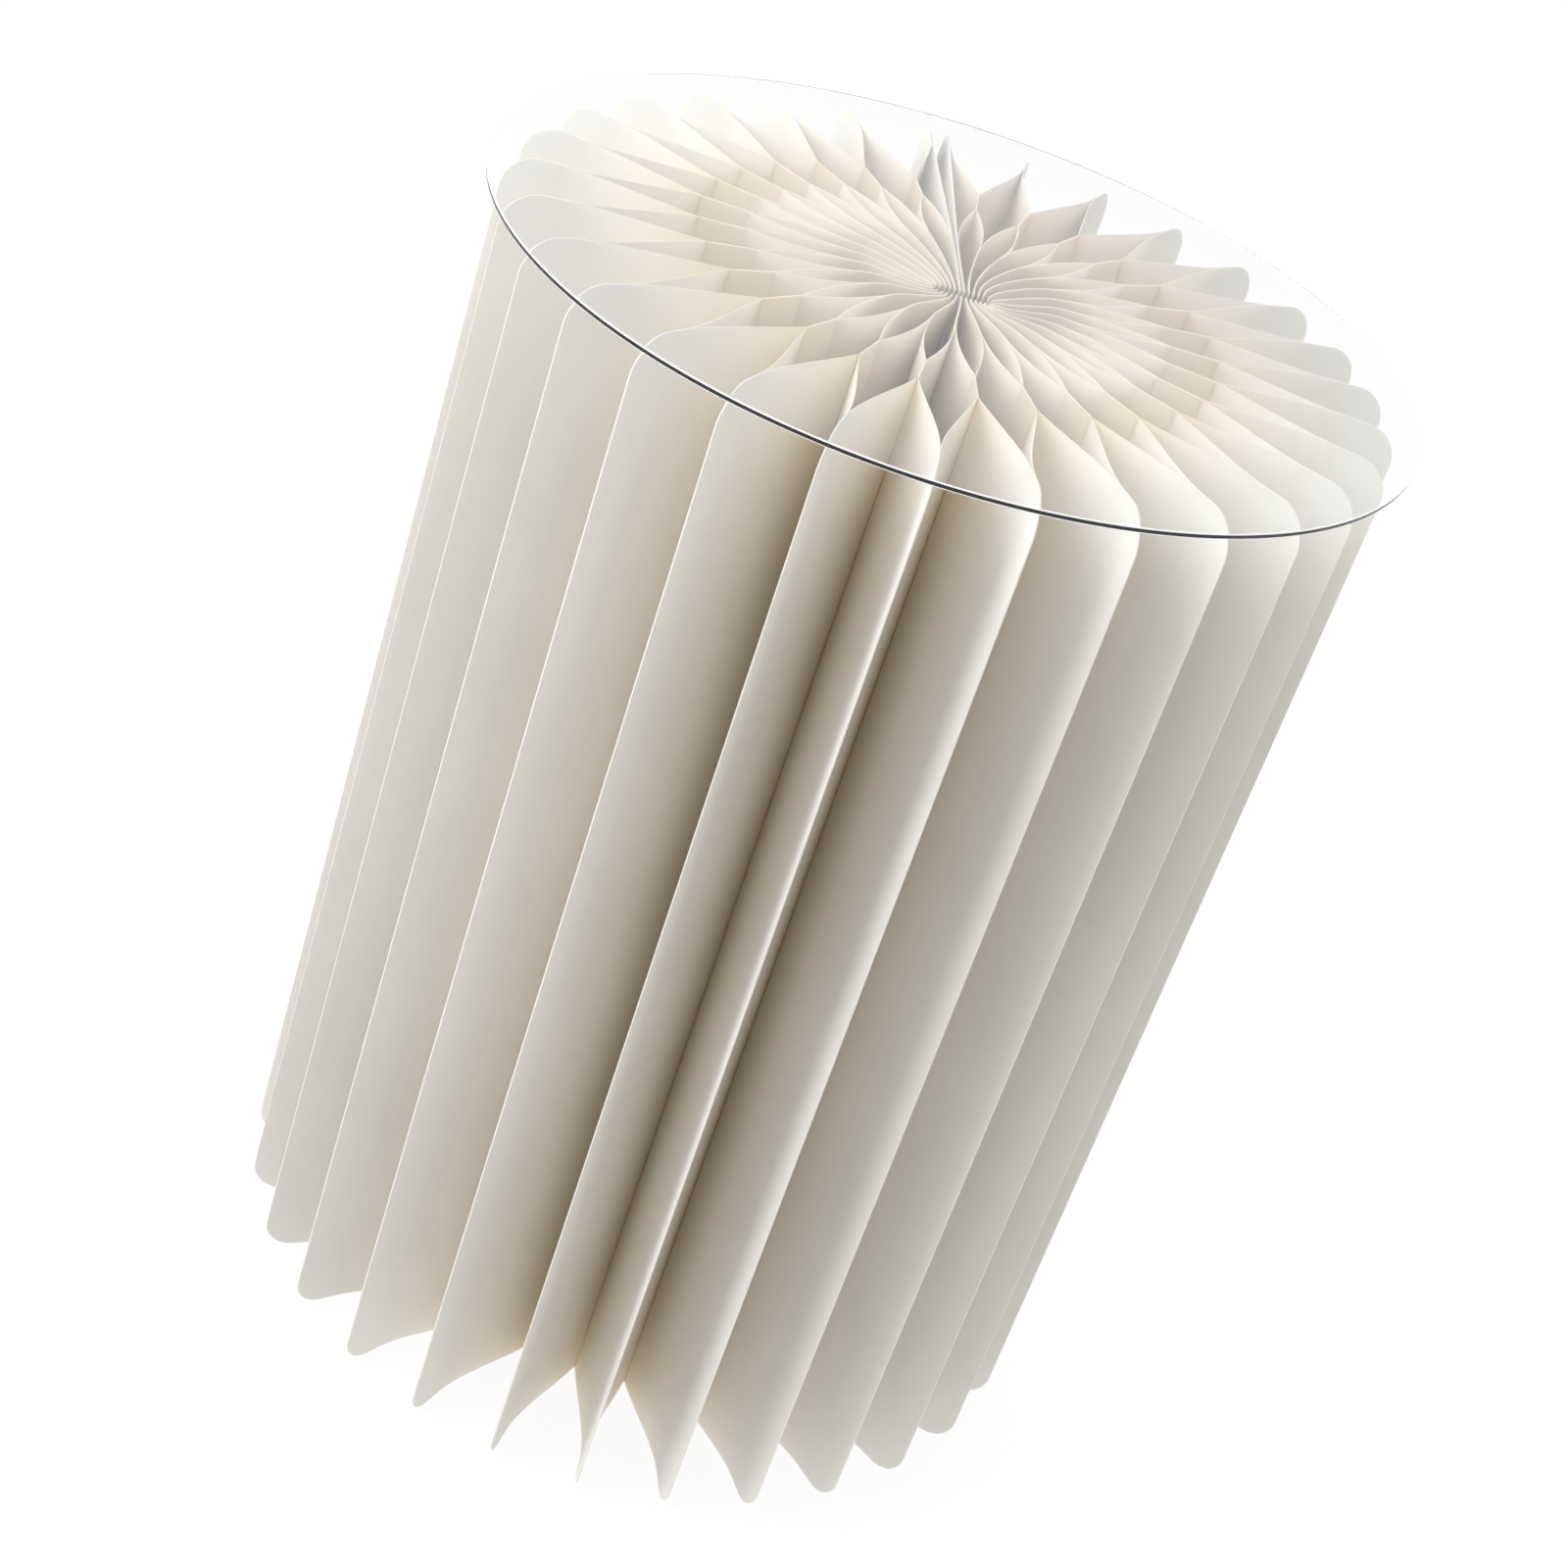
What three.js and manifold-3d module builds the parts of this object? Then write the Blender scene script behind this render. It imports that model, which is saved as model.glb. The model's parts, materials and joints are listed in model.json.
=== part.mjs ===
// Fold-out honeycomb paper side table with a loose clear round top.
// Thirty paper leaves are bound at a flattened spine and opened all the way round, so that
// the two covers meet at the back.  Each leaf is a pair of sheets, glued together near the
// spine and along the rim.  Between those glue lines each sheet bows out and is glued to
// the bowed sheet of the next leaf, which makes the honeycomb.
// Millimetres.  +Z is up, the origin is on the floor under the middle, the seam faces +Y.

import * as THREE from "three";
import { mergeVertices } from "three/addons/utils/BufferGeometryUtils.js";
import Module from "manifold-3d";

// Driving dimensions
const LEAVES = 30;
const SEAM_ANGLE = 3;            // degrees left open between the two covers
const BODY_HEIGHT = 450;
const BODY_RADIUS = 166;
const CORNER_RADIUS = 13;        // outer corners of every sheet, top and bottom
const SHEET = 0.3;               // paper thickness
const BOARD = 0.8;               // cover thickness
const GLUE_GAP = 0.3;            // clearance that stands for a glue line

const STEM_END = 38;             // radius where the two sheets of a leaf begin to part
const STRIP_START = 79;          // inner end of the glue strip between two leaves
const STRIP_END = 97;            // outer end of that strip, the bottom of the outer groove
const FIN_START = 146;           // radius where the two sheets of a leaf have met again

const SPINE_OFFSET = -10;        // the bound edges gather a little in front of the middle
const SPINE_PITCH = 1.75;        // spacing of the leaves around the spine
const SPINE_END_RADIUS = 2.8;    // the ring of bound edges is flattened to this half depth

const DISC_RADIUS = 172.5;
const DISC_THICKNESS = 2;
const DISC_CHAMFER = 0.4;

// Segments along a sheet
const STEM_STEPS = 6;
const WEB_STEPS = 8;
const CORNER_STEPS = 4;
const DISC_STEPS = 96;

const STEM_PULL = 0.8;    // how strongly a stem keeps its two end directions; 1 is an even cubic

const LEAF_PITCH = (360 - SEAM_ANGLE) / (LEAVES - 1);
const LAST = LEAVES - 1;
const OFFSET = (SHEET + GLUE_GAP) / 2;    // from a glue line's middle to a sheet's middle

// Two neighbouring leaves fold about a hinge midway between them.  The hinge in the frame of
// a leaf, along it and across, and at such a radius that folded leaves lie one spine pitch apart.
const HINGE_RADIUS = SPINE_PITCH / 2 / Math.sin(THREE.MathUtils.degToRad(LEAF_PITCH / 2));

const paper = new THREE.MeshStandardMaterial({ color: 0xf1ece2, roughness: 0.85, metalness: 0 });
const cover = new THREE.MeshStandardMaterial({ color: 0xeeeae2, roughness: 0.8, metalness: 0 });
const clear = new THREE.MeshStandardMaterial({
  color: 0xf4f8f8, roughness: 0.05, metalness: 0, transparent: true, opacity: 0.3,
});

const direction = (degrees) => {
  const angle = THREE.MathUtils.degToRad(degrees);
  return new THREE.Vector2(Math.cos(angle), Math.sin(angle));
};
const leftOf = (v) => new THREE.Vector2(-v.y, v.x);
const along = (point, vector, amount) => point.clone().addScaledVector(vector, amount);
const leafAngle = (leaf) => 90 + SEAM_ANGLE / 2 + leaf * LEAF_PITCH;

// Where leaf number `leaf` is bound, and the way it leaves the spine.  The bound edges
// stand side by side round a flattened ring: back half, left end, front, right end.
function spineRoot(leaf) {
  const straight = (LEAVES * SPINE_PITCH) / 2 - Math.PI * SPINE_END_RADIUS;
  const turn = Math.PI * SPINE_END_RADIUS;
  let run = (leaf + 0.5) * SPINE_PITCH;
  const onRing = (x, degrees) => {
    const way = direction(degrees);
    const middle = new THREE.Vector2(x, SPINE_OFFSET);
    return { point: along(middle, way, SPINE_END_RADIUS), way };
  };
  const ends = [
    [straight / 2, (r) => onRing(-r, 90)],
    [turn, (r) => onRing(-straight / 2, 90 + (180 * r) / turn)],
    [straight, (r) => onRing(-straight / 2 + r, 270)],
    [turn, (r) => onRing(straight / 2, 270 + (180 * r) / turn)],
    [straight / 2, (r) => onRing(straight / 2 - r, 90)],
  ];
  for (const [length, place] of ends) {
    if (run <= length) return place(run);
    run -= length;
  }
  throw new Error("a leaf lies past the end of the spine");
}

// Middle line of the stem that a leaf's two sheets share, from the spine outwards.
function stemLine(leaf) {
  const root = spineRoot(leaf);
  const way = direction(leafAngle(leaf));
  const end = way.clone().multiplyScalar(STEM_END);
  const reach = (STEM_PULL * root.point.distanceTo(end)) / 3;
  const handles = [along(root.point, root.way, reach), along(end, way, -reach)];
  const curve = new THREE.CubicBezierCurve(root.point, ...handles, end);
  return { points: curve.getPoints(STEM_STEPS), start: root.way, end: way };
}

// Unit normals on the left of a line of points; the two ends take the given directions.
function leftNormals(points, start, end) {
  return points.map((point, i) => {
    if (i === 0) return leftOf(start);
    if (i === points.length - 1) return leftOf(end);
    return leftOf(points[i + 1].clone().sub(points[i - 1]).normalize());
  });
}

// Radii at which the rounded corner is stepped, from the straight edge to the rim.
function cornerRadii() {
  const steps = Array.from({ length: CORNER_STEPS }, (_, i) => (i + 1) / CORNER_STEPS);
  const inner = BODY_RADIUS - CORNER_RADIUS;
  return [inner, ...steps.map((s) => inner + CORNER_RADIUS * Math.sin((s * Math.PI) / 2))];
}

// Height lost at the top, and at the bottom, of a sheet at this distance from the middle.
function cornerDrop(radius) {
  const over = Math.max(0, radius - (BODY_RADIUS - CORNER_RADIUS));
  return CORNER_RADIUS - Math.sqrt(Math.max(0, CORNER_RADIUS ** 2 - over ** 2));
}

// How far along its leaf a sheet is at this radius of the glue strip between two leaves.
function stripReach(radius) {
  const middle = direction(LEAF_PITCH / 2);
  return radius * middle.x + OFFSET * middle.y;
}

// One web, from where it leaves its leaf to the glue strip, both as distances along the leaf.
// In folding, each point turns back about the hinge by its own share of the pitch, which grows
// to a half at the strip, and the sheet has to come out flat.
function webPoints(leaf, side, still, strip) {
  const way = direction(leafAngle(leaf));
  const across = leftOf(way).multiplyScalar(side);
  const hinge = direction(LEAF_PITCH / 2).multiplyScalar(HINGE_RADIUS);
  return Array.from({ length: WEB_STEPS + 1 }, (_, step) => {
    const share = THREE.MathUtils.smoothstep(step / WEB_STEPS / 2, 0, 1);
    const turn = share * THREE.MathUtils.degToRad(LEAF_PITCH);
    const reach = still + ((strip - still) * step) / WEB_STEPS;
    const flat = OFFSET + 2 * share * (hinge.y - 2 * OFFSET);
    const rise = flat - hinge.y + (reach - hinge.x) * Math.sin(turn);
    return along(way.clone().multiplyScalar(reach), across, hinge.y + rise / Math.cos(turn));
  });
}

// Middle line of one bowed sheet; side is 1 towards the next leaf and -1 towards the last.
// parted gives the first and last of its points where the two sheets of a leaf are apart.
function bowedLine(leaf, side) {
  const way = direction(leafAngle(leaf));
  const across = leftOf(way).multiplyScalar(side);
  const onLeaf = (radius) => along(way.clone().multiplyScalar(radius), across, OFFSET);

  const stem = stemLine(leaf);
  const normals = leftNormals(stem.points, stem.start, stem.end);
  const stemPoints = stem.points.map((p, i) => along(p, normals[i], side * OFFSET));
  const innerWeb = webPoints(leaf, side, STEM_END, stripReach(STRIP_START));
  const outerWeb = webPoints(leaf, side, FIN_START, stripReach(STRIP_END)).reverse();
  const fin = cornerRadii().map(onLeaf);
  const points = [...stemPoints, ...innerWeb.slice(1), ...outerWeb, ...fin];
  const parted = [STEM_STEPS, STEM_STEPS + 2 * WEB_STEPS + 1];
  return { points, start: stem.start, end: way, parted };
}

// A box bent along a line: its length follows the points, its width is the thickness, and
// its height runs from the floor to the top, less the rounded corners.
function bentSheet(line, thickness) {
  const { points, start, end } = line;
  const steps = points.length - 1;
  const normals = leftNormals(points, start, end);
  const box = new THREE.BoxGeometry(1, 1, 1, steps, 1, 1);
  const position = box.getAttribute("position");
  for (let v = 0; v < position.count; v += 1) {
    const i = Math.round((position.getX(v) + 0.5) * steps);
    const side = Math.sign(position.getY(v));
    const drop = cornerDrop(points[i].dot(end));
    const z = position.getZ(v) > 0 ? BODY_HEIGHT - drop : drop;
    const place = along(points[i], normals[i], (side * thickness) / 2);
    position.setXYZ(v, place.x, place.y, z);
  }
  box.computeVertexNormals();
  return box;
}

const wasm = await Module();
wasm.setup();

function toSolid(geometry) {
  const plain = geometry.clone();
  plain.deleteAttribute("normal");
  plain.deleteAttribute("uv");
  const merged = mergeVertices(plain, 1e-5);
  return new wasm.Manifold(new wasm.Mesh({
    numProp: 3,
    vertProperties: new Float32Array(merged.getAttribute("position").array),
    triVerts: new Uint32Array(merged.index.array),
  }));
}

function toGeometry(solid) {
  const mesh = solid.getMesh();
  const geometry = new THREE.BufferGeometry();
  geometry.setAttribute("position", new THREE.BufferAttribute(mesh.vertProperties, 3));
  geometry.setIndex(new THREE.BufferAttribute(mesh.triVerts, 1));
  geometry.computeVertexNormals();
  return geometry;
}

// An upright slab in the plane of a leaf, with the rounded outer corners of a sheet.
function leafOutline(leaf) {
  const shape = new THREE.Shape();
  const [inner, outer, top] = [BODY_RADIUS - CORNER_RADIUS, -BODY_RADIUS, BODY_HEIGHT];
  shape.moveTo(outer, 0);
  shape.absarc(inner, CORNER_RADIUS, CORNER_RADIUS, -Math.PI / 2, 0, false);
  shape.absarc(inner, top - CORNER_RADIUS, CORNER_RADIUS, 0, Math.PI / 2, false);
  shape.lineTo(outer, top);
  const options = { depth: BODY_RADIUS, bevelEnabled: false, curveSegments: CORNER_STEPS };
  const slab = new THREE.ExtrudeGeometry(shape, options);
  slab.translate(0, 0, -BODY_RADIUS / 2).rotateX(Math.PI / 2);
  return slab.rotateZ(THREE.MathUtils.degToRad(leafAngle(leaf)));
}

// The outermost leaf: a flat board with one bowed sheet bonded to its inner face, drawn in
// plan with the gap between the two as a hole, then trimmed to the outline of a sheet.
function coverGeometry(leaf, side) {
  const { points, start, end, parted } = bowedLine(leaf, side);
  const normals = leftNormals(points, start, end);
  const shifted = (amount) => points.map((p, i) => along(p, normals[i], side * amount));
  const bowedFace = shifted(SHEET / 2);
  const bondedFace = shifted(-SHEET / 2);
  const seamFace = shifted(-SHEET / 2 - BOARD);
  const past = (face) => along(face[face.length - 1], end, CORNER_RADIUS);

  const stem = seamFace.slice(0, parted[0] + 1);
  const rim = [past(seamFace), past(bowedFace)];
  const bowed = bowedFace.slice(0, parted[1] + 1).reverse();
  const shape = new THREE.Shape([...stem, ...rim, ...bowed]);
  shape.holes.push(new THREE.Path(bondedFace.slice(parted[0], parted[1] + 1)));
  const prism = new THREE.ExtrudeGeometry(shape, { depth: BODY_HEIGHT, bevelEnabled: false });
  return toGeometry(toSolid(prism).intersect(toSolid(leafOutline(leaf))));
}

// A flat disc with lightly chamfered edges.
function discGeometry() {
  const base = BODY_HEIGHT + GLUE_GAP;
  const top = base + DISC_THICKNESS;
  const profile = [
    [0, base],
    [DISC_RADIUS - DISC_CHAMFER, base],
    [DISC_RADIUS, base + DISC_CHAMFER],
    [DISC_RADIUS, top - DISC_CHAMFER],
    [DISC_RADIUS - DISC_CHAMFER, top],
    [0, top],
  ].map(([r, z]) => new THREE.Vector2(r, z));
  return new THREE.LatheGeometry(profile, DISC_STEPS).rotateX(Math.PI / 2);
}

const table = new THREE.Group();

function addPart(name, geometry, material) {
  const mesh = new THREE.Mesh(geometry, material);
  mesh.name = name;
  table.add(mesh);
}

const leafName = (leaf) => `leaf_${String(leaf + 1).padStart(2, "0")}`;

addPart("left_cover", coverGeometry(0, 1), cover);
for (let leaf = 1; leaf < LAST; leaf += 1) {
  addPart(`${leafName(leaf)}_sheet_a`, bentSheet(bowedLine(leaf, -1), SHEET), paper);
  addPart(`${leafName(leaf)}_sheet_b`, bentSheet(bowedLine(leaf, 1), SHEET), paper);
}
addPart("right_cover", coverGeometry(LAST, -1), cover);
addPart("clear_top_disc", discGeometry(), clear);

export default table;
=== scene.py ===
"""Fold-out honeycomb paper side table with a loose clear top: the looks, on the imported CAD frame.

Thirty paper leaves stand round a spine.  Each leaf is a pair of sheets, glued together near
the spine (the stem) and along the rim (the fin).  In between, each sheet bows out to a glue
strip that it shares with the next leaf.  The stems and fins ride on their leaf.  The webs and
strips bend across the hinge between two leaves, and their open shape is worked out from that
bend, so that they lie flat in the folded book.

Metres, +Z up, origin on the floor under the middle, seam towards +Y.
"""

import json
import math

import bmesh
import bpy
from mathutils import Matrix, Vector
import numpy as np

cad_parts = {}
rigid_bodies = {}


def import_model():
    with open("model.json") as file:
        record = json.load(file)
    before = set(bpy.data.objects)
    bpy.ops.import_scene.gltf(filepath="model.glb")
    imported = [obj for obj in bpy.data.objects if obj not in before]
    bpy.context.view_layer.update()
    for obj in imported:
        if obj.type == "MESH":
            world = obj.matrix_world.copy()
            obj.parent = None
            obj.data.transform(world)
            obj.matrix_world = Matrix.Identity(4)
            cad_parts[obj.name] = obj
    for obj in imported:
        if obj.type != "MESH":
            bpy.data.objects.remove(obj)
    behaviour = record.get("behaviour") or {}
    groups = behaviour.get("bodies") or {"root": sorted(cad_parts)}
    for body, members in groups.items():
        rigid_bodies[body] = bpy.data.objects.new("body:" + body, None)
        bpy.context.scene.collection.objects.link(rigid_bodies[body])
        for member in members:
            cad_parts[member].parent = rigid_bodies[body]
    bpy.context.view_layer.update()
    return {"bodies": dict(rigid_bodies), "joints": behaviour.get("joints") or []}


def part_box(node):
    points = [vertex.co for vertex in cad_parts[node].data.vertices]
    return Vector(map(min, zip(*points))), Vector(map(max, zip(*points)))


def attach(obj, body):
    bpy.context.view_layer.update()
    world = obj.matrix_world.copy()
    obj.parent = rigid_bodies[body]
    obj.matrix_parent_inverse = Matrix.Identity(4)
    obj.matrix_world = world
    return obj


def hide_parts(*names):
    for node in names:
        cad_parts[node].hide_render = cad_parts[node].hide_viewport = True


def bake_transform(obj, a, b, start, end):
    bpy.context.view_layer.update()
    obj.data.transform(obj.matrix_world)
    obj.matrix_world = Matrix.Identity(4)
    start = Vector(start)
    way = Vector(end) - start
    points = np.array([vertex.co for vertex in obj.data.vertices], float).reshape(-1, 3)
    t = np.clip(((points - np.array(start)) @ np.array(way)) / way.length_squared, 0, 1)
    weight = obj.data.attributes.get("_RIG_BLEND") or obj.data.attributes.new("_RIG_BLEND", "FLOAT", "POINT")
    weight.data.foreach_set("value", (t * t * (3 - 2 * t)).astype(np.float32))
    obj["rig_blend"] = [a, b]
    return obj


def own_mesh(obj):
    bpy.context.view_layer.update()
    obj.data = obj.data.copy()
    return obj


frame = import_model()

# Sizes that the frame gives
JOINTS = {frozenset((j["parent"], j["child"])): j for j in frame["joints"]}
NUMBERED_LEAVES = sorted(body for body in frame["bodies"] if body[-1].isdigit())
LEAF_BODIES = ["left_cover_leaf", *NUMBERED_LEAVES, "right_cover_leaf"]
LEAVES = len(LEAF_BODIES)
LAST = LEAVES - 1
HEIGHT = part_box("leaf_02_sheet_a")[1].z
DISC_LOW, DISC_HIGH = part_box("clear_top_disc")

# Driving dimensions.  The CAD part has the same, except that its sheets, boards and glue gaps
# are thicker (0.3, 0.8 and 0.3 mm), because its solids need more clearance.
SEAM = math.radians(3)             # left open between the two covers
RADIUS = 0.166                     # of the paper body
CORNER = 0.013                     # radius of a sheet's outer corners
SHEET = 0.00022                    # paper thickness
BOARD = 0.0005                     # cover thickness
GLUE_GAP = 0.00006                 # a glue line's thickness
STRIP_START = 0.079                # glue strip between two leaves
STRIP_END = 0.097
SPINE_MIDDLE = Vector((0, -0.010)) # of the flattened ring of bound edges
SPINE_PITCH = 0.00175              # spacing of the leaves round the spine
SPINE_END_RADIUS = 0.0028
DISC_ROUNDING = 0.0004             # of the disc's edges, a chamfer in the CAD part

# Where the webs leave the stem and reach the fin.  They bend away slowly, so the gap between
# the two sheets of a leaf shows from about 5 mm further out and 8 mm further in.
STEM_END = 0.038
FIN_START = 0.146

PITCH = (2 * math.pi - SEAM) / (LEAVES - 1)
OFFSET = (SHEET + GLUE_GAP) / 2    # from a glue line's middle to a sheet's middle

# Where the paper's colour, its painted bounce light and shade, and the light through it change
RIM_TONE_START = 0.118             # from the axis
RIM_TONE_END = FIN_START + 0.006
SINGLE_SHEET_REACH = 0.028         # from the valley towards the fin
GROOVE_SHADE_REACH = 0.022                  # from the valley, as the next two
GLUE_CORE = 0.0005
GLUE_EDGE = 0.001

# Studio
FLOOR_REACH = 400.0                # so far that its edge never shows
LIGHT_DISTANCE = 2.3
LIGHT_SIZE = 1.8

# Mesh steps
HANDLE_SHARE = 0.8 / 3             # a stem curve's handle, as a share of its span
STEM_STEPS = 12
WEB_STEPS = 16
CORNER_STEPS = 10
ROWS = 14                          # up a sheet's height
DISC_STEPS = 256


# ---------------------------------------------------------------- plan geometry

def direction(angle):
    return Vector((math.cos(angle), math.sin(angle)))


def left_of(way):
    return Vector((-way.y, way.x))


def leaf_angle(leaf):
    return math.pi / 2 + SEAM / 2 + leaf * PITCH


def spine_root(leaf):
    """Where a leaf is bound and the way it leaves the spine, on a flattened ring: back half,
    left end, front, right end, back half."""
    turn = math.pi * SPINE_END_RADIUS
    straight = LEAVES * SPINE_PITCH / 2 - turn
    stretches = (
        (straight / 2, lambda run: (-run, 90)),
        (turn, lambda run: (-straight / 2, 90 + 180 * run / turn)),
        (straight, lambda run: (-straight / 2 + run, 270)),
        (turn, lambda run: (straight / 2, 270 + 180 * run / turn)),
        (straight / 2, lambda run: (straight / 2 - run, 90)),
    )
    run = (leaf + 0.5) * SPINE_PITCH
    for length, place in stretches:
        if run <= length:
            break
        run -= length
    x, degrees = place(run)
    way = direction(math.radians(degrees))
    return SPINE_MIDDLE + Vector((x, 0)) + way * SPINE_END_RADIUS, way


def stem_line(leaf):
    """Middle line of a leaf's stem from the spine outwards, with its normals on the left."""
    root, first = spine_root(leaf)
    way = direction(leaf_angle(leaf))
    end = way * STEM_END
    reach = (end - root).length * HANDLE_SHARE
    handles = (root, root + first * reach, end - way * reach, end)
    points, normals = [], []
    for step in range(STEM_STEPS + 1):
        t = step / STEM_STEPS
        s = 1 - t
        weights = (s * s * s, 3 * s * s * t, 3 * s * t * t, t * t * t)
        slopes = (-s * s, s * s - 2 * s * t, 2 * s * t - t * t, t * t)
        points.append(sum((h * w for h, w in zip(handles, weights)), Vector((0, 0))))
        slope = sum((h * w for h, w in zip(handles, slopes)), Vector((0, 0)))
        normals.append(left_of(slope.normalized()))
    return points, normals


def hinge_of(leaf, side):
    """The hinge on one side of a leaf, in the leaf's own plan frame: along it and across."""
    pair = frozenset((LEAF_BODIES[leaf], LEAF_BODIES[leaf + side]))
    place = Vector(JOINTS[pair]["pos_m"][:2])
    way = direction(leaf_angle(leaf))
    return Vector((place.dot(way), place.dot(left_of(way)) * side))


def strip_reach(radius):
    """How far along its leaf a sheet has come at this radius of the glue strip."""
    return radius * math.cos(PITCH / 2) + OFFSET * math.sin(PITCH / 2)


def web_line(leaf, side, still, strip):
    """A web's line, outwards, between where it leaves its leaf (still) and the glue strip
    (strip), both as distances along the leaf.  Folding turns each point back about the hinge
    by its own share of the pitch, a half at the strip, and has to leave the sheet flat."""
    way = direction(leaf_angle(leaf))
    hinge = hinge_of(leaf, side)
    points = []
    for step in range(WEB_STEPS + 1):
        t = step / WEB_STEPS / 2
        share = t * t * (3 - 2 * t)
        turn = share * PITCH
        along = still + (strip - still) * 2 * t
        flat = OFFSET + 2 * share * (hinge.y - 2 * OFFSET)
        across = hinge.y + (flat - hinge.y + (along - hinge.x) * math.sin(turn)) / math.cos(turn)
        points.append(way * along + left_of(way) * across * side)
    return points if still < strip else points[::-1]


def strip_line(leaf, side):
    middle = direction(leaf_angle(leaf) + side * PITCH / 2)
    aside = left_of(middle) * -side * OFFSET
    return [middle * STRIP_START + aside, middle * STRIP_END + aside]


def line_normals(points):
    """Unit normals on the left of a line of points."""
    ends = [points[0], *points, points[-1]]
    return [left_of((b - a).normalized()) for a, b in zip(ends, ends[2:])]


def fin_radii(start):
    """Radii along a fin: its start, then the stretch with the rounded corner, in even turns."""
    inner = RADIUS - CORNER
    turns = [math.pi / 2 * step / CORNER_STEPS for step in range(CORNER_STEPS + 1)]
    return [start, *(inner + CORNER * math.sin(turn) for turn in turns)]


def corner_drop(radius):
    """How far the rounded corner stands back from the top and bottom edges at this radius."""
    inside = max(0.0, radius - (RADIUS - CORNER))
    return CORNER - math.sqrt(max(0.0, CORNER * CORNER - inside * inside))


# ---------------------------------------------------------------- paper meshes

def add_sheet(mesh, points, normals, offset, thickness, leaf, outside):
    """Adds a closed sheet of paper that stands on a plan line.  Each vertex keeps its distance
    from the axis, its height and its leaf, which the paper pattern and its painted light hang on, and
    whether it is on the face that looks into the outer groove, which gets painted shade; outside is that
    face's side."""
    place = mesh.verts.layers.float_vector["place_on_sheet"]
    groove = mesh.verts.layers.float["groove_face"]
    rows = []
    for point, normal in zip(points, normals):
        middle = point + normal * offset
        drop = corner_drop(point.length)
        faces = []
        for half in (thickness / 2, -thickness / 2):
            spot = middle + normal * half
            column = []
            for row in range(ROWS + 1):
                z = drop + (HEIGHT - 2 * drop) * row / ROWS
                vertex = mesh.verts.new((spot.x, spot.y, z))
                vertex[place] = (point.length, z, leaf / 10)
                vertex[groove] = float(half * outside > 0)
                column.append(vertex)
            faces.append(column)
        rows.append(faces)
    for (left, right), (next_left, next_right) in zip(rows, rows[1:]):
        for row in range(ROWS):
            mesh.faces.new((left[row], left[row + 1], next_left[row + 1], next_left[row]))
            mesh.faces.new((right[row], next_right[row], next_right[row + 1], right[row + 1]))
        mesh.faces.new((left[0], next_left[0], next_right[0], right[0]))
        mesh.faces.new((left[-1], right[-1], next_right[-1], next_left[-1]))
    for (left, right), flip in ((rows[0], False), (rows[-1], True)):
        for row in range(ROWS):
            corners = [left[row], right[row], right[row + 1], left[row + 1]]
            mesh.faces.new(corners[::-1] if flip else corners)


def paper_piece(name, sheets, leaf, material):
    """A mesh object of one or more sheets: (points, normals, offset, thickness, outside)."""
    mesh = bmesh.new()
    mesh.verts.layers.float_vector.new("place_on_sheet")
    mesh.verts.layers.float.new("groove_face")
    for points, normals, offset, thickness, outside in sheets:
        add_sheet(mesh, points, normals, offset, thickness, leaf, outside)
    bmesh.ops.recalc_face_normals(mesh, faces=mesh.faces)
    data = bpy.data.meshes.new(name)
    mesh.to_mesh(data)
    mesh.free()
    data.shade_smooth()
    data.set_sharp_from_angle(angle=math.radians(35))
    data.materials.append(material)
    piece = bpy.data.objects.new(name, data)
    bpy.context.scene.collection.objects.link(piece)
    return piece


def up(point):
    return Vector((point.x, point.y, 0))


def bent_sheet(leaf, side, name, node, material):
    """The two webs and the glue strip of one bowed sheet, which bend across a hinge."""
    body, neighbour = LEAF_BODIES[leaf], LEAF_BODIES[leaf + side]
    way = direction(leaf_angle(leaf))
    middle = left_of(direction(leaf_angle(leaf) + side * PITCH / 2)) * side
    strip = strip_line(leaf, side)
    webs = (
        ("inner_web", STEM_END, strip_reach(STRIP_START)),
        ("outer_web", FIN_START, strip_reach(STRIP_END)),
    )
    for part, still, reach in webs:
        points = web_line(leaf, side, still, reach)
        sheet = (points, line_normals(points), 0, SHEET, side)
        piece = paper_piece(f"{name}_{part}", [sheet], leaf, material)
        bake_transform(piece, body, neighbour, start=up(way * still), end=up(way * (2 * reach - still)))
        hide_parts(node)
    sheet = (strip, line_normals(strip), 0, SHEET, side)
    piece = paper_piece(f"{name}_glue_strip", [sheet], leaf, material)
    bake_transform(piece, body, neighbour, start=up(strip[0] - middle), end=up(strip[0] + middle))
    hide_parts(node)


def stem_sheets(leaf, sides):
    """The stem of each bowed sheet of a leaf, as sheets for paper_piece."""
    stem, normals = stem_line(leaf)
    return [(stem, normals, side * OFFSET, SHEET, side) for side in sides]


def fin_sheets(leaf, sides):
    """The fin of each bowed sheet of a leaf, as sheets for paper_piece."""
    way = direction(leaf_angle(leaf))
    fin = [way * radius for radius in fin_radii(FIN_START)]
    return [(fin, [left_of(way)] * len(fin), side * OFFSET, SHEET, side) for side in sides]


def inner_leaf(leaf, material):
    """A leaf of two sheets.  Its stem is bent round the spine and rides on the leaf."""
    body = LEAF_BODIES[leaf]
    nodes = {-1: f"{body}_sheet_a", 1: f"{body}_sheet_b"}
    stem = paper_piece(f"{body}_stem", stem_sheets(leaf, nodes), leaf, material)
    fin = paper_piece(f"{body}_fin", fin_sheets(leaf, nodes), leaf, material)
    for piece in (stem, fin):
        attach(piece, body)
        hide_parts(*nodes.values())
    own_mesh(stem)
    for side, node in nodes.items():
        bent_sheet(leaf, side, node, node, material)


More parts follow.
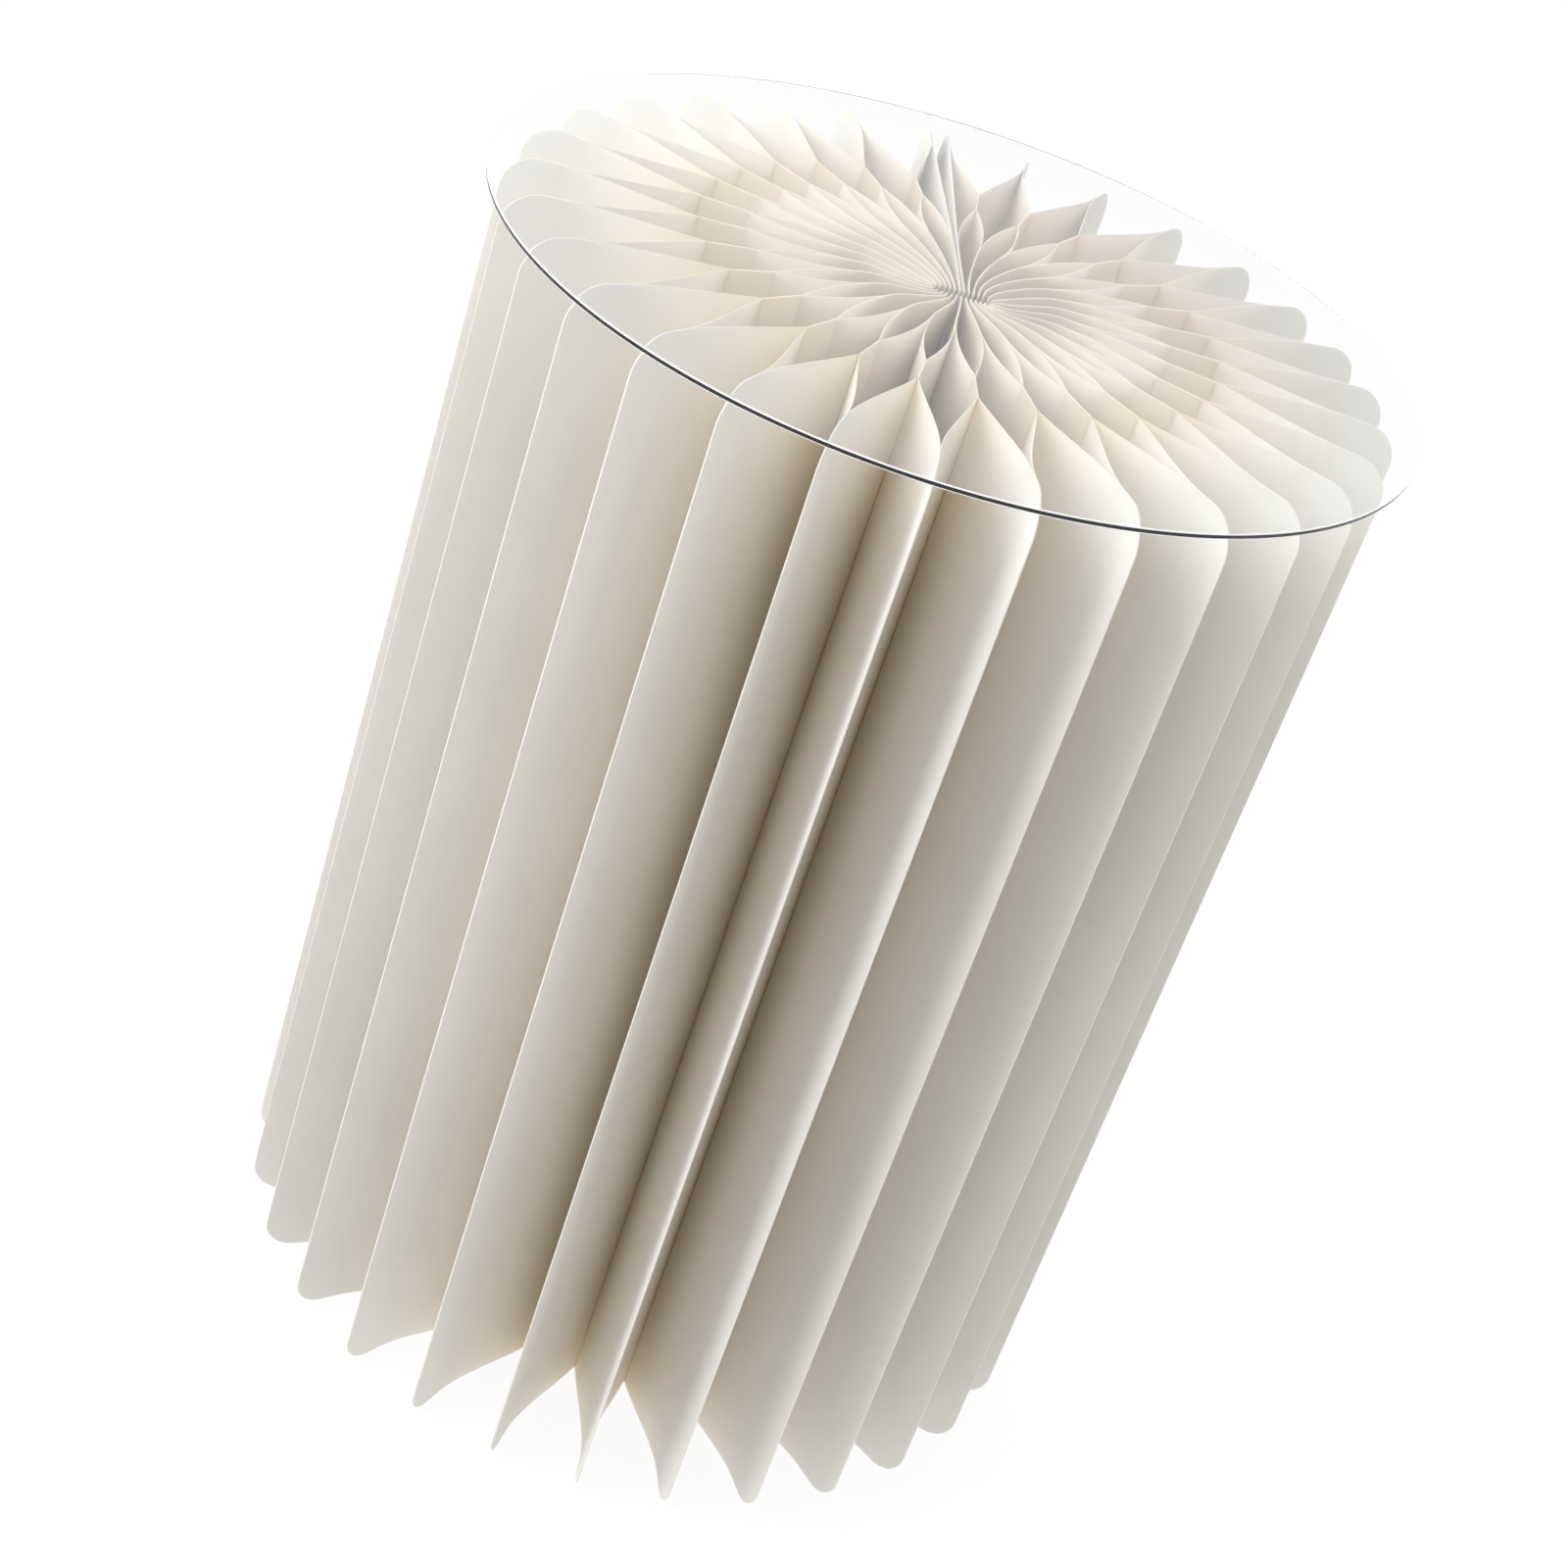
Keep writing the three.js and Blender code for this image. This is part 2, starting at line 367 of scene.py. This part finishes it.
def cover_leaf(leaf, side, node, paper, card):
    """A cover: the bowed sheet on its inner face, and the board behind it."""
    body = LEAF_BODIES[leaf]
    sheets = stem_sheets(leaf, [side]) + fin_sheets(leaf, [side])
    piece = paper_piece(f"{node}_stem_and_fin", sheets, leaf, paper)
    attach(piece, body)
    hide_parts(node)
    bent_sheet(leaf, side, f"{node}_sheet", node, paper)

    way = direction(leaf_angle(leaf))
    stem, normals = stem_line(leaf)
    rest = [way * radius for radius in fin_radii((STEM_END + FIN_START) / 2)]
    behind = side * (OFFSET - SHEET / 2 - BOARD / 2)
    line = (stem + rest, normals + [left_of(way)] * len(rest), behind, BOARD, -side)
    board = paper_piece(f"{node}_board", [line], leaf, card)
    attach(board, body)
    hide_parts(node)


# ---------------------------------------------------------------- clear top

def disc_profile():
    """Radius and height round the disc's section, with small rounded edges."""
    profile = [(0, DISC_LOW.z)]
    for height, first in ((DISC_LOW.z + DISC_ROUNDING, -90), (DISC_HIGH.z - DISC_ROUNDING, 0)):
        for step in range(5):
            turn = math.radians(first + 90 * step / 4)
            out = DISC_HIGH.x - DISC_ROUNDING + DISC_ROUNDING * math.cos(turn)
            profile.append((out, height + DISC_ROUNDING * math.sin(turn)))
    profile.append((0, DISC_HIGH.z))
    return profile


def clear_disc(clear, edge, bevel):
    """The disc's faces are polished, its upright edge is cut, and the bevels are ground."""
    mesh = bmesh.new()
    profile = disc_profile()
    bottom = mesh.verts.new((0, 0, profile[0][1]))
    top = mesh.verts.new((0, 0, profile[-1][1]))
    spokes = []
    for step in range(DISC_STEPS):
        way = direction(2 * math.pi * step / DISC_STEPS)
        spokes.append([mesh.verts.new((way.x * r, way.y * r, z)) for r, z in profile[1:-1]])
    for spoke, after in zip(spokes, spokes[1:] + spokes[:1]):
        mesh.faces.new((bottom, after[0], spoke[0]))
        mesh.faces.new((top, spoke[-1], after[-1]))
        for low, high, next_low, next_high in zip(spoke, spoke[1:], after, after[1:]):
            face = mesh.faces.new((low, next_low, next_high, high))
            face.smooth = True
            face.material_index = 1 if high.co.z - low.co.z > DISC_ROUNDING else 2
    bmesh.ops.recalc_face_normals(mesh, faces=mesh.faces)
    data = bpy.data.meshes.new("clear_disc")
    mesh.to_mesh(data)
    mesh.free()
    data.materials.append(clear)
    data.materials.append(edge)
    data.materials.append(bevel)
    disc = bpy.data.objects.new("clear_disc", data)
    bpy.context.scene.collection.objects.link(disc)
    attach(disc, "top")
    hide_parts("clear_top_disc")


# ---------------------------------------------------------------- materials

class Nodes:
    """A short way to write a material's node tree."""

    def __init__(self, name):
        self.material = bpy.data.materials.new(name)
        self.material.use_nodes = True
        self.tree = self.material.node_tree
        self.tree.nodes.clear()

    def add(self, kind, inputs=(), **settings):
        node = self.tree.nodes.new(kind)
        for key, value in settings.items():
            setattr(node, key, value)
        for key, value in dict(inputs).items():
            if isinstance(value, bpy.types.NodeSocket):
                self.tree.links.new(value, node.inputs[key])
            else:
                node.inputs[key].default_value = value
        return node

    def noise(self, vector, scale, detail=2.0):
        inputs = {"Vector": vector, "Scale": scale, "Detail": detail}
        return self.add("ShaderNodeTexNoise", inputs).outputs["Fac"]

    def span(self, value, low, high, to_low=0.0, to_high=1.0):
        inputs = {
            "Value": value, "From Min": low, "From Max": high, "To Min": to_low, "To Max": to_high,
        }
        node = self.add("ShaderNodeMapRange", inputs, interpolation_type="SMOOTHSTEP")
        return node.outputs["Result"]

    def blend_colours(self, factor, first, second):
        node = self.add("ShaderNodeMix", data_type="RGBA")
        for index, value in ((0, factor), (6, first), (7, second)):
            if isinstance(value, bpy.types.NodeSocket):
                self.tree.links.new(value, node.inputs[index])
            else:
                node.inputs[index].default_value = value
        return node.outputs[2]

    def multiply(self, first, second):
        node = self.add("ShaderNodeMath", {0: first, 1: second}, operation="MULTIPLY")
        return node.outputs[0]

    def finish(self, shader):
        self.add("ShaderNodeOutputMaterial", {"Surface": shader})
        return self.material


def rgb(red, green, blue):
    return (red, green, blue, 1.0)


def paper_surface(nodes, colour, see_through, glow):
    """Matte paper of that colour, with fine fibres, painted shade that greys the cut edges that face up,
    and light that comes through it."""
    place = nodes.add("ShaderNodeAttribute", attribute_name="place_on_sheet").outputs["Vector"]
    along_fibres = (1.0, 0.35, 1.0)
    stretched = nodes.add("ShaderNodeVectorMath", {0: place, 1: along_fibres}, operation="MULTIPLY")
    fibres = nodes.noise(stretched.outputs[0], 1400.0, 3.0)
    clouds = nodes.noise(place, 14.0, 3.0)
    darker = {"Value": 0.93, "Saturation": 1.15, "Color": colour}
    shade = nodes.add("ShaderNodeHueSaturation", darker).outputs[0]
    body = nodes.blend_colours(nodes.span(clouds, 0.3, 0.7, 0.0, 0.5), colour, shade)
    body = nodes.blend_colours(nodes.span(fibres, 0.55, 0.8, 0.0, 0.5), body, shade)
    # Painted shade: the cut edges that face up are greyed against the light that falls on them from above.
    normal = nodes.add("ShaderNodeNewGeometry").outputs["Normal"]
    upwards = nodes.add("ShaderNodeSeparateXYZ", {0: normal}).outputs["Z"]
    painted_top_edge_shade = nodes.add("ShaderNodeMath", {0: upwards, 1: 0.7}, operation="GREATER_THAN").outputs[0]
    body = nodes.blend_colours(nodes.multiply(painted_top_edge_shade, 0.6), body, rgb(0.62, 0.59, 0.54))
    bump = nodes.add("ShaderNodeBump", {"Height": fibres, "Strength": 0.12, "Distance": 0.0003})
    surface = nodes.add("ShaderNodeBsdfPrincipled", {
        "Base Color": body, "Roughness": nodes.span(fibres, 0.2, 0.8, 0.72, 0.9),
        "Normal": bump.outputs[0], "Specular IOR Level": 0.05,
    })
    through = nodes.add("ShaderNodeBsdfTranslucent", {"Color": glow, "Normal": bump.outputs[0]})
    mixed = nodes.add("ShaderNodeMixShader", {
        0: see_through, 1: surface.outputs[0], 2: through.outputs[0],
    })
    return nodes.finish(mixed.outputs[0])


def honeycomb_material():
    """Off-white honeycomb paper, with a thin brown line of glue along each valley.  Painted light: warm
    bounce light inside the cells that turns whiter towards the rim, and a darker, warmer painted shade on
    the faces that look into the outer grooves, deepest in the groove at each valley."""
    nodes = Nodes("honeycomb_paper")
    place = nodes.add("ShaderNodeAttribute", attribute_name="place_on_sheet").outputs["Vector"]
    groove = nodes.add("ShaderNodeAttribute", attribute_name="groove_face").outputs["Fac"]
    radius = nodes.add("ShaderNodeSeparateXYZ", {0: place}).outputs["X"]
    # Painted light: warm bounce light inside the cells, whiter towards the rim, and a darker, warmer painted
    # shade on the faces that look into the outer grooves.
    towards_rim = nodes.span(radius, RIM_TONE_START, RIM_TONE_END)
    colour = nodes.blend_colours(groove, rgb(0.97, 0.935, 0.885), rgb(0.965, 0.92, 0.825))
    colour = nodes.blend_colours(towards_rim, colour, rgb(0.955, 0.945, 0.91))

    # Painted shade in the depth of each outer groove, darker and warmer towards the valley.
    off_valley = nodes.add("ShaderNodeMath", {0: radius, 1: STRIP_END}, operation="SUBTRACT")
    distance = nodes.add("ShaderNodeMath", {0: off_valley.outputs[0]}, operation="ABSOLUTE").outputs[0]
    painted_groove_shade = nodes.multiply(groove, nodes.span(distance, 0.0, GROOVE_SHADE_REACH, 0.65, 0.0))
    colour = nodes.blend_colours(painted_groove_shade, colour, rgb(0.85, 0.745, 0.51))
    wander = nodes.span(nodes.noise(place, 60.0, 3.0), 0.3, 0.7, 0.6, 1.0)
    glue_line = nodes.span(distance, GLUE_CORE, GLUE_EDGE, 1.0, 0.0)
    soaked = nodes.multiply(nodes.multiply(groove, glue_line), wander)
    colour = nodes.blend_colours(soaked, colour, rgb(0.76, 0.41, 0.02))

    strip_middle = (STRIP_START + STRIP_END) / 2
    strip_half = (STRIP_END - STRIP_START) / 2
    on_strip = {0: radius, 1: strip_middle, 2: strip_half}
    strip = nodes.add("ShaderNodeMath", on_strip, operation="COMPARE").outputs[0]
    single = nodes.span(radius, STRIP_END, STRIP_END + SINGLE_SHEET_REACH, 0.5, 0.28)
    raised = {0: strip, 1: 0.2, 2: single}
    see_through = nodes.add("ShaderNodeMath", raised, operation="MULTIPLY_ADD").outputs[0]
    return paper_surface(nodes, colour, see_through, rgb(0.985, 0.95, 0.90))


def card_material():
    """The covers' smooth light grey card."""
    nodes = Nodes("cover_paper")
    place = nodes.add("ShaderNodeAttribute", attribute_name="place_on_sheet").outputs["Vector"]
    clouds = nodes.noise(place, 30.0, 2.0)
    colour = nodes.blend_colours(clouds, rgb(0.93, 0.925, 0.92), rgb(0.905, 0.905, 0.905))
    return paper_surface(nodes, colour, 0.5, rgb(0.98, 0.965, 0.94))


def clear_material(name, colour, roughness, clearness=1.0):
    """Clear acrylic.  Lamps and bounced light pass straight through, so the paper under it is
    lit as it would be through a thin clear sheet."""
    nodes = Nodes(name)
    glass = nodes.add("ShaderNodeBsdfPrincipled", {
        "Base Color": colour, "Roughness": roughness, "IOR": 1.49, "Transmission Weight": clearness,
    })
    open_air = nodes.add("ShaderNodeBsdfTransparent", {"Color": rgb(0.96, 0.97, 0.97)})
    path = nodes.add("ShaderNodeLightPath")
    lamp_or_bounce = nodes.add("ShaderNodeMath", {
        0: path.outputs["Is Shadow Ray"], 1: path.outputs["Is Diffuse Ray"],
    }, operation="MAXIMUM")
    mixed = nodes.add("ShaderNodeMixShader", {
        0: lamp_or_bounce.outputs[0], 1: glass.outputs[0], 2: open_air.outputs[0],
    })
    return nodes.finish(mixed.outputs[0])


def floor_material():
    nodes = Nodes("white_floor")
    surface = nodes.add("ShaderNodeBsdfPrincipled", {
        "Base Color": rgb(0.12, 0.12, 0.12), "Roughness": 0.9, "Specular IOR Level": 0.0,
        "Emission Color": rgb(1, 1, 1), "Emission Strength": 0.9,
    })
    return nodes.finish(surface.outputs[0])


# ---------------------------------------------------------------- studio

def make_floor():
    mesh = bmesh.new()
    bmesh.ops.create_grid(mesh, x_segments=1, y_segments=1, size=FLOOR_REACH)
    data = bpy.data.meshes.new("floor")
    mesh.to_mesh(data)
    mesh.free()
    data.materials.append(floor_material())
    floor = bpy.data.objects.new("floor", data)
    bpy.context.scene.collection.objects.link(floor)


def area_light(name, azimuth, elevation, power):
    """A soft square light that looks at the middle of the table and isn't mirrored in it."""
    target = Vector((0, 0, HEIGHT / 2))
    turn, lift = math.radians(azimuth), math.radians(elevation)
    flat = direction(turn) * math.cos(lift)
    away = Vector((flat.x, flat.y, math.sin(lift)))
    data = bpy.data.lights.new(name, "AREA")
    data.size = LIGHT_SIZE
    data.energy = power
    light = bpy.data.objects.new(name, data)
    light.location = target + away * LIGHT_DISTANCE
    light.rotation_euler = away.to_track_quat("Z", "Y").to_euler()
    light.visible_glossy = False
    bpy.context.scene.collection.objects.link(light)


def make_world(strength):
    """Even white light from all round; the camera itself sees plain white."""
    world = bpy.data.worlds.new("white_studio")
    world.use_nodes = True
    tree = world.node_tree
    background = tree.nodes["Background"]
    background.inputs["Color"].default_value = rgb(1, 1, 1)
    path = tree.nodes.new("ShaderNodeLightPath")
    seen = tree.nodes.new("ShaderNodeMapRange")
    seen.inputs["To Min"].default_value = strength
    seen.inputs["To Max"].default_value = 1.0
    tree.links.new(path.outputs["Is Camera Ray"], seen.inputs["Value"])
    tree.links.new(seen.outputs["Result"], background.inputs["Strength"])
    bpy.context.scene.world = world


def make_camera():
    """The photo's camera: in front and to the left, looking down, and rolled."""
    azimuth = math.radians(-100.43)
    distance = 1.0062
    height = 0.8228
    heading = azimuth + math.radians(180.05)
    tilt = math.radians(30.39)
    roll = math.radians(19.23)
    ahead = direction(heading)
    forward = Vector((ahead.x * math.cos(tilt), ahead.y * math.cos(tilt), -math.sin(tilt)))
    level = forward.cross(Vector((0, 0, 1))).normalized()
    upright = level.cross(forward)
    right = level * math.cos(roll) + upright * math.sin(roll)
    above = upright * math.cos(roll) - level * math.sin(roll)
    data = bpy.data.cameras.new("camera")
    data.lens = 68.33
    data.sensor_width = 36
    camera = bpy.data.objects.new("camera", data)
    turned = Matrix((right, above, -forward)).transposed().to_4x4()
    place = direction(azimuth) * distance
    camera.matrix_world = Matrix.Translation((place.x, place.y, height)) @ turned
    bpy.context.scene.collection.objects.link(camera)
    bpy.context.scene.camera = camera


# ---------------------------------------------------------------- the scene

make_camera()
make_floor()
make_world(0.82)
area_light("key", -168, 35, 43)
area_light("back", 90, 60, 32)
bpy.context.scene.view_settings.view_transform = "Standard"

honeycomb = honeycomb_material()
card = card_material()
cover_leaf(0, 1, "left_cover", honeycomb, card)
for number in range(1, LAST):
    inner_leaf(number, honeycomb)
cover_leaf(LAST, -1, "right_cover", honeycomb, card)
polished = clear_material("clear_acrylic", rgb(0.985, 0.99, 0.99), 0.0)
cut_edge = clear_material("clear_acrylic_edge", rgb(0.75, 0.78, 0.82), 0.12)
ground = clear_material("clear_acrylic_bevel", rgb(0.97, 0.98, 0.98), 0.6, 0.3)
clear_disc(polished, cut_edge, ground)
